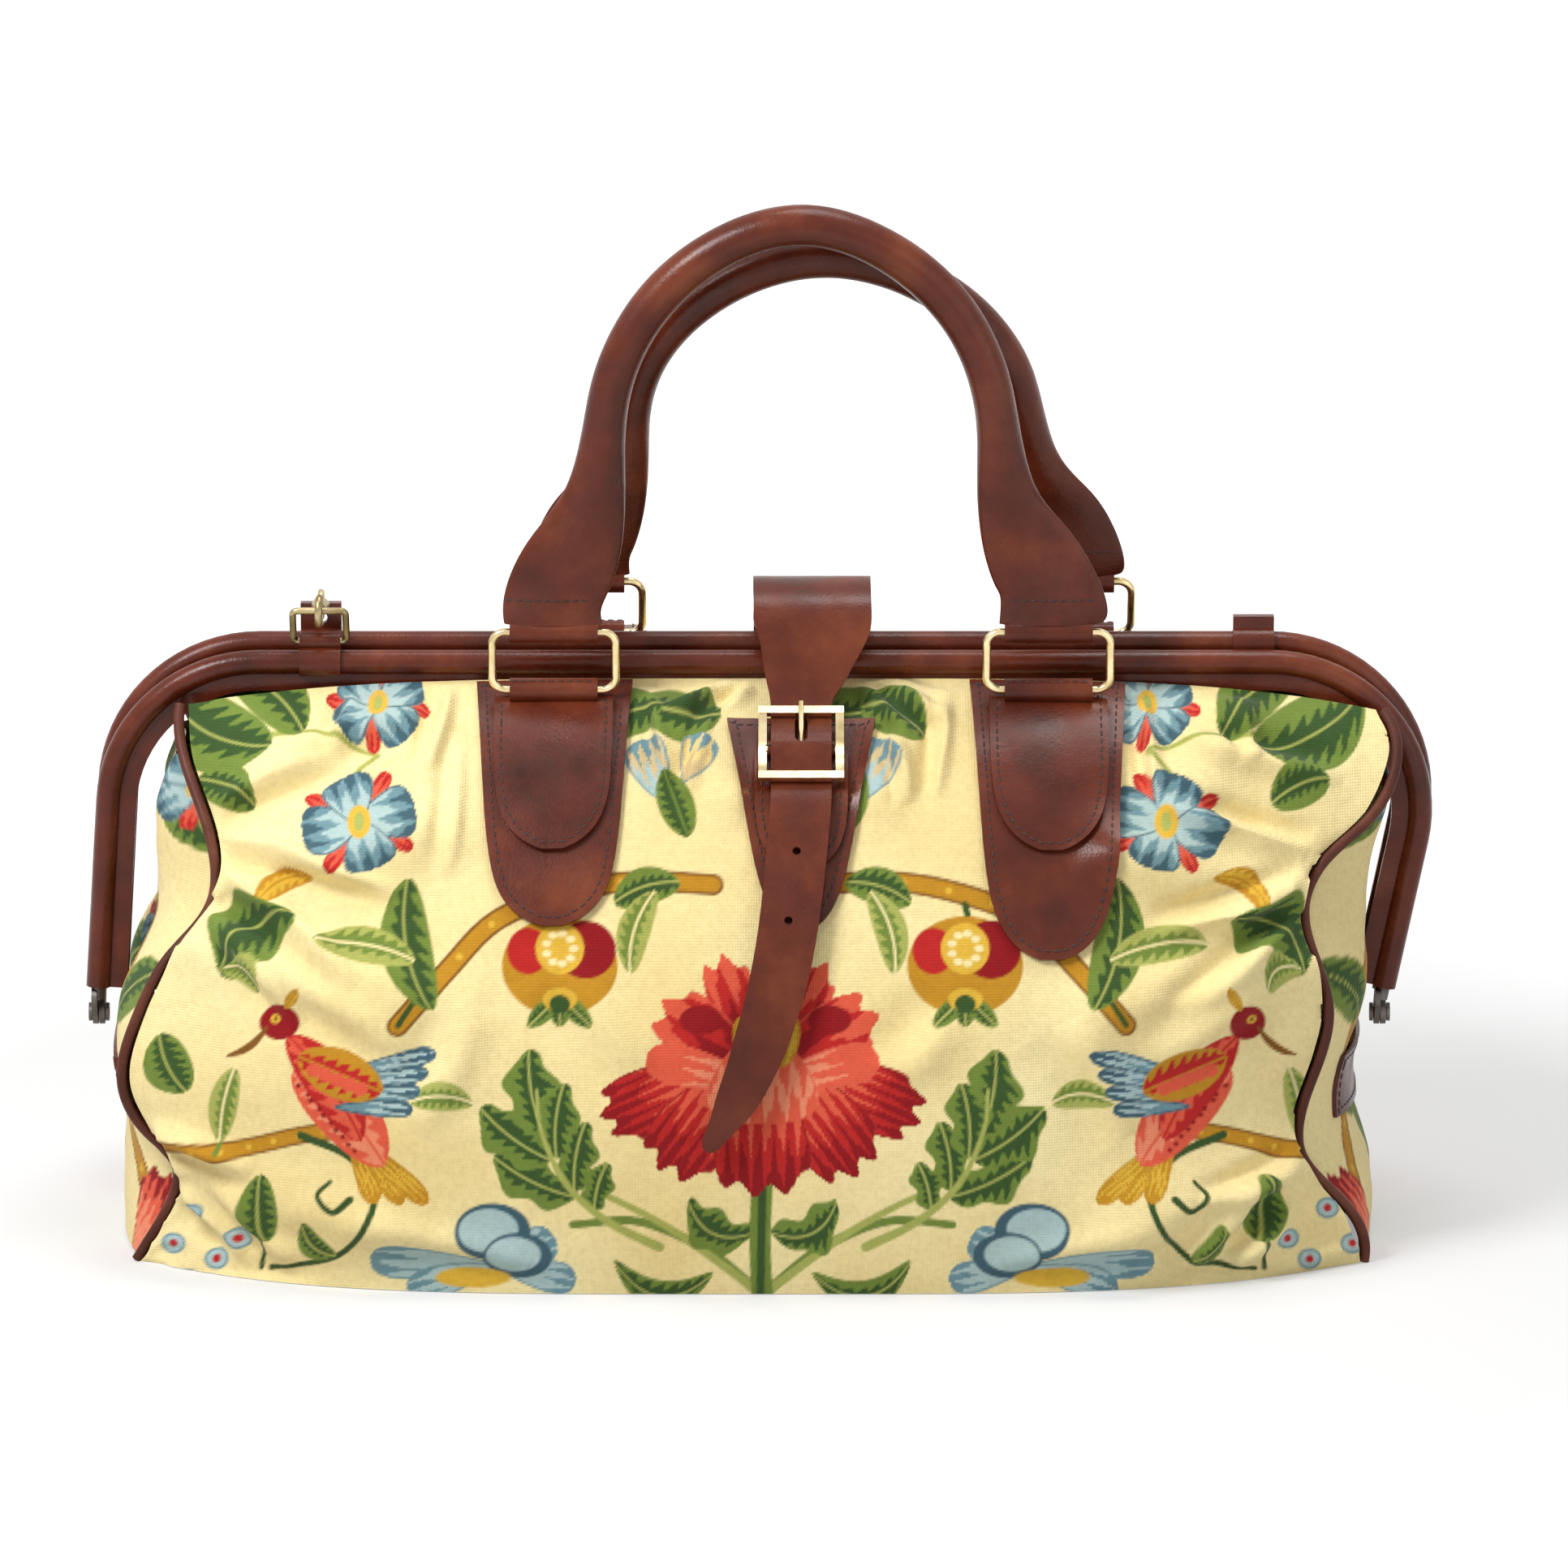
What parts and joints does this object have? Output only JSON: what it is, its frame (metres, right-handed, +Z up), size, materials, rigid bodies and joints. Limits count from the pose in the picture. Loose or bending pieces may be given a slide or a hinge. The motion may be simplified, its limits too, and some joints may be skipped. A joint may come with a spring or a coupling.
{
  "type": "carpet bag",
  "caption": "Carpet bag of printed cloth on a hinged leather-covered mouth frame, with rolled leather handles on brass rings and a buckled closing strap.",
  "frame": {"origin": "on the floor, under the middle of the base", "axes": "+X along the bag, -Y out of the front, +Z up"},
  "size_m": [0.4961, 0.2213, 0.3899],
  "materials": {
    "cloth": "printed linen-weave cotton",
    "leather": "polished brown cowhide",
    "piping_leather": "matt brown leather",
    "brass": "polished",
    "old_brass": "aged",
    "steel": "plain",
    "board": "pressed board"
  },
  "bodies": {
    "bag": {"base_board": "board", "base_panel": "cloth", "buckle_chape": "leather", "buckle_frame": "brass", "buckle_patch": "leather", "buckle_prong": "brass", "clip_dee": "old_brass", "clip_hook": "old_brass", "clip_loop": "leather", "clip_tab": "leather", "front_frame_bow": "steel", "front_frame_cover": "leather", "front_left_chape": "leather", "front_left_patch": "leather", "front_left_piping": "piping_leather", "front_panel": "cloth", "front_right_chape": "leather", "front_right_patch": "leather", "front_right_piping": "piping_leather", "left_gusset": "cloth", "left_gusset_band": "leather", "left_hinge_rivet": "steel", "rear_frame_bow": "steel", "rear_frame_cover": "leather", "rear_left_chape": "leather", "rear_left_patch": "leather", "rear_left_piping": "piping_leather", "rear_panel": "cloth", "rear_right_chape": "leather", "rear_right_patch": "leather", "rear_right_piping": "piping_leather", "right_gusset": "cloth", "right_gusset_band": "leather", "right_hinge_rivet": "steel", "spare_tab": "leather", "strap": "leather"},
    "front_rings": {"front_left_ring": "brass", "front_right_ring": "brass"},
    "front_handle": {"front_handle": "leather"},
    "rear_rings": {"rear_left_ring": "brass", "rear_right_ring": "brass"},
    "rear_handle": {"rear_handle": "leather"},
    "clip_gate": {"clip_gate": "old_brass"}
  },
  "joints": [
    {"name": "front_ring_swing", "type": "hinge", "parent": "bag", "child": "front_rings", "pos_m": [0.01402, -0.02739, 0.20692], "axis": [1, 0, 0], "range_deg": [0, 95]},
    {"name": "front_handle_swing", "type": "hinge", "parent": "front_rings", "child": "front_handle", "pos_m": [0.01402, -0.02854, 0.22889], "axis": [1, 0, 0], "range_deg": [0, 40]},
    {"name": "rear_ring_swing", "type": "hinge", "parent": "bag", "child": "rear_rings", "pos_m": [0.02309, 0.02457, 0.21522], "axis": [1, 0, 0], "range_deg": [-70, 0]},
    {"name": "rear_handle_swing", "type": "hinge", "parent": "rear_rings", "child": "rear_handle", "pos_m": [0.02309, 0.01851, 0.23636], "axis": [1, 0, 0], "range_deg": [-40, 0]},
    {"name": "clip_gate_swing", "type": "hinge", "parent": "bag", "child": "clip_gate", "pos_m": [-0.162, -0.00792, 0.23632], "axis": [1, 0, 0], "range_deg": [0, 12]}
  ]
}
